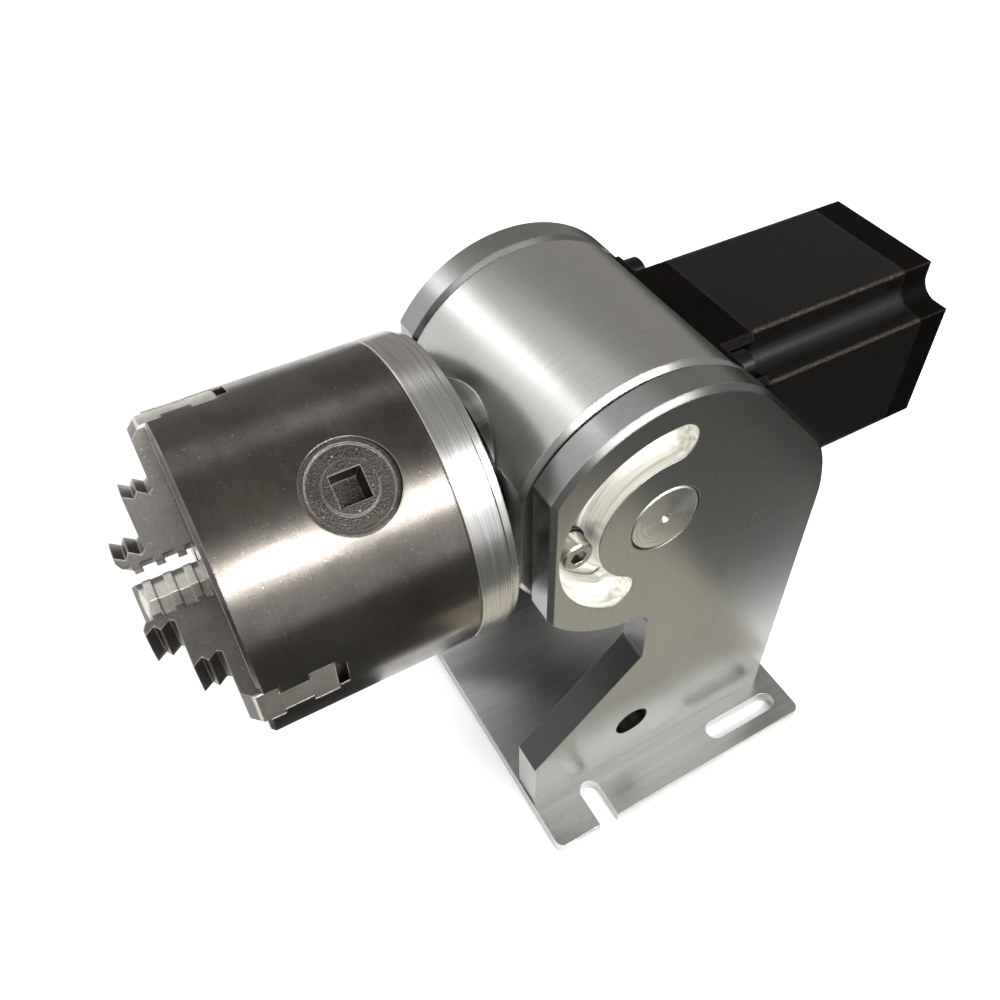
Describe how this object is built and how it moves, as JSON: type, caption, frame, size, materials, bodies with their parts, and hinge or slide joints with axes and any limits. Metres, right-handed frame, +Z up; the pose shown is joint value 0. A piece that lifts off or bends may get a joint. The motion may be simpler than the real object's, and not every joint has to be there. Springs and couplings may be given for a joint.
{
  "type": "rotary axis",
  "caption": "Tilting rotary axis: self-centring scroll chuck with stepped jaws on a motor-driven spindle, swinging between clamped side plates on a slotted base.",
  "frame": {"origin": "underside of the base plate, straight below the tilt axis and midway between the side plates", "axes": "+X along the level spindle from the chuck to the motor, -Y to the front side plate, +Z up"},
  "size_m": [0.2229, 0.114, 0.1662],
  "materials": {
    "base_metal": "satin, milled",
    "plate_metal": "satin, milled",
    "drum_metal": "satin, turned",
    "pin_steel": "turned",
    "screw_steel": "dark, oiled",
    "washer_steel": "plain",
    "bearing_steel": "ground",
    "spindle_steel": "turned",
    "motor_black": "satin black",
    "motor_stack": "fine grained black",
    "connector_plastic": "matte",
    "coupling_metal": "turned",
    "coupling_rubber": "matte",
    "flange_steel": "turned, scratched",
    "chuck_steel": "ground, brownish grey",
    "jaw_steel": "hardened, dark",
    "pinion_steel": "hardened, dark"
  },
  "bodies": {
    "frame": {"base_plate": "base_metal", "plate_screws": "screw_steel", "front_side_plate": "plate_metal", "rear_side_plate": "plate_metal"},
    "tilt_head": {"housing": "drum_metal", "front_pivot_pin": "pin_steel", "rear_pivot_pin": "pin_steel", "bearing_snap_ring": "screw_steel", "chuck_end_bearing_outer": "bearing_steel", "chuck_end_bearing_balls": "bearing_steel", "motor_end_bearing_outer": "bearing_steel", "motor_end_bearing_balls": "bearing_steel", "outer_spacer": "spindle_steel", "motor_front_cap": "motor_black", "motor_stator": "motor_stack", "motor_rear_cap": "motor_black", "motor_connector": "connector_plastic", "motor_front_bearing": "bearing_steel", "motor_rear_bearing": "bearing_steel", "motor_screws": "screw_steel"},
    "front_lock": {"front_clamp_screw": "screw_steel", "front_clamp_washer": "washer_steel"},
    "rear_lock": {"rear_clamp_screw": "screw_steel", "rear_clamp_washer": "washer_steel"},
    "spindle": {"spindle_shaft": "spindle_steel", "chuck_end_bearing_inner": "bearing_steel", "motor_end_bearing_inner": "bearing_steel", "inner_spacer": "spindle_steel", "coupling_hub_spindle": "coupling_metal", "coupling_hub_motor": "coupling_metal", "coupling_spider": "coupling_rubber", "coupling_set_screws": "screw_steel", "motor_rotor": "spindle_steel", "adapter_flange": "flange_steel", "nose_screws": "screw_steel", "chuck_screws": "screw_steel", "chuck_body": "chuck_steel", "chuck_rear_cover": "chuck_steel", "chuck_cover_screws": "screw_steel", "pinion_retaining_pins": "bearing_steel"},
    "scroll_disc": {"scroll": "chuck_steel"},
    "jaw_1_body": {"jaw_1": "jaw_steel"},
    "jaw_2_body": {"jaw_2": "jaw_steel"},
    "jaw_3_body": {"jaw_3": "jaw_steel"},
    "pinion_1_body": {"pinion_1": "pinion_steel"},
    "pinion_2_body": {"pinion_2": "pinion_steel"},
    "pinion_3_body": {"pinion_3": "pinion_steel"}
  },
  "joints": [
    {"name": "head_tilt", "type": "hinge", "parent": "frame", "child": "tilt_head", "pos_m": [0, 0, 0.1262], "axis": [0, 1, 0], "range_deg": [-45, 90]},
    {"name": "front_lock_turn", "type": "hinge", "parent": "tilt_head", "child": "front_lock", "pos_m": [-0.0253, -0.035, 0.1262], "axis": [0, -1, 0], "range_deg": [0, 360]},
    {"name": "rear_lock_turn", "type": "hinge", "parent": "tilt_head", "child": "rear_lock", "pos_m": [-0.0253, 0.035, 0.1262], "axis": [0, 1, 0], "range_deg": [0, 360]},
    {"name": "spindle_turn", "type": "hinge", "parent": "tilt_head", "child": "spindle", "pos_m": [0, 0, 0.1262], "axis": [1, 0, 0], "continuous": true},
    {"name": "scroll_turn", "type": "hinge", "parent": "spindle", "child": "scroll_disc", "pos_m": [-0.08, 0, 0.1262], "axis": [1, 0, 0], "range_deg": [-380, 610]},
    {"name": "jaw_1_slide", "type": "slide", "parent": "spindle", "child": "jaw_1_body", "axis": [0, 0.4493, 0.8934], "range_m": [-0.0053, 0.0085]},
    {"name": "jaw_2_slide", "type": "slide", "parent": "spindle", "child": "jaw_2_body", "axis": [0, -0.9983, -0.0576], "range_m": [-0.0053, 0.0085]},
    {"name": "jaw_3_slide", "type": "slide", "parent": "spindle", "child": "jaw_3_body", "axis": [0, 0.549, -0.8358], "range_m": [-0.0053, 0.0085]},
    {"name": "pinion_1_turn", "type": "hinge", "parent": "spindle", "child": "pinion_1_body", "pos_m": [-0.0714, -0.01647, 0.15127], "axis": [0, -0.549, 0.8358], "range_deg": [-1600, 2570]},
    {"name": "pinion_2_turn", "type": "hinge", "parent": "spindle", "child": "pinion_2_body", "pos_m": [-0.0714, -0.01348, 0.0994], "axis": [0, -0.4493, -0.8934], "range_deg": [-1600, 2570]},
    {"name": "pinion_3_turn", "type": "hinge", "parent": "spindle", "child": "pinion_3_body", "pos_m": [-0.0714, 0.02995, 0.12793], "axis": [0, 0.9983, 0.0576], "range_deg": [-1600, 2570]}
  ],
  "couplings": [
    {"joint": "jaw_1_slide", "follows": "scroll_turn", "m_per_rad": 0.00079577},
    {"joint": "jaw_2_slide", "follows": "scroll_turn", "m_per_rad": 0.00079577},
    {"joint": "jaw_3_slide", "follows": "scroll_turn", "m_per_rad": 0.00079577},
    {"joint": "pinion_1_turn", "follows": "scroll_turn", "ratio": 4.2},
    {"joint": "pinion_2_turn", "follows": "scroll_turn", "ratio": 4.2},
    {"joint": "pinion_3_turn", "follows": "scroll_turn", "ratio": 4.2}
  ]
}
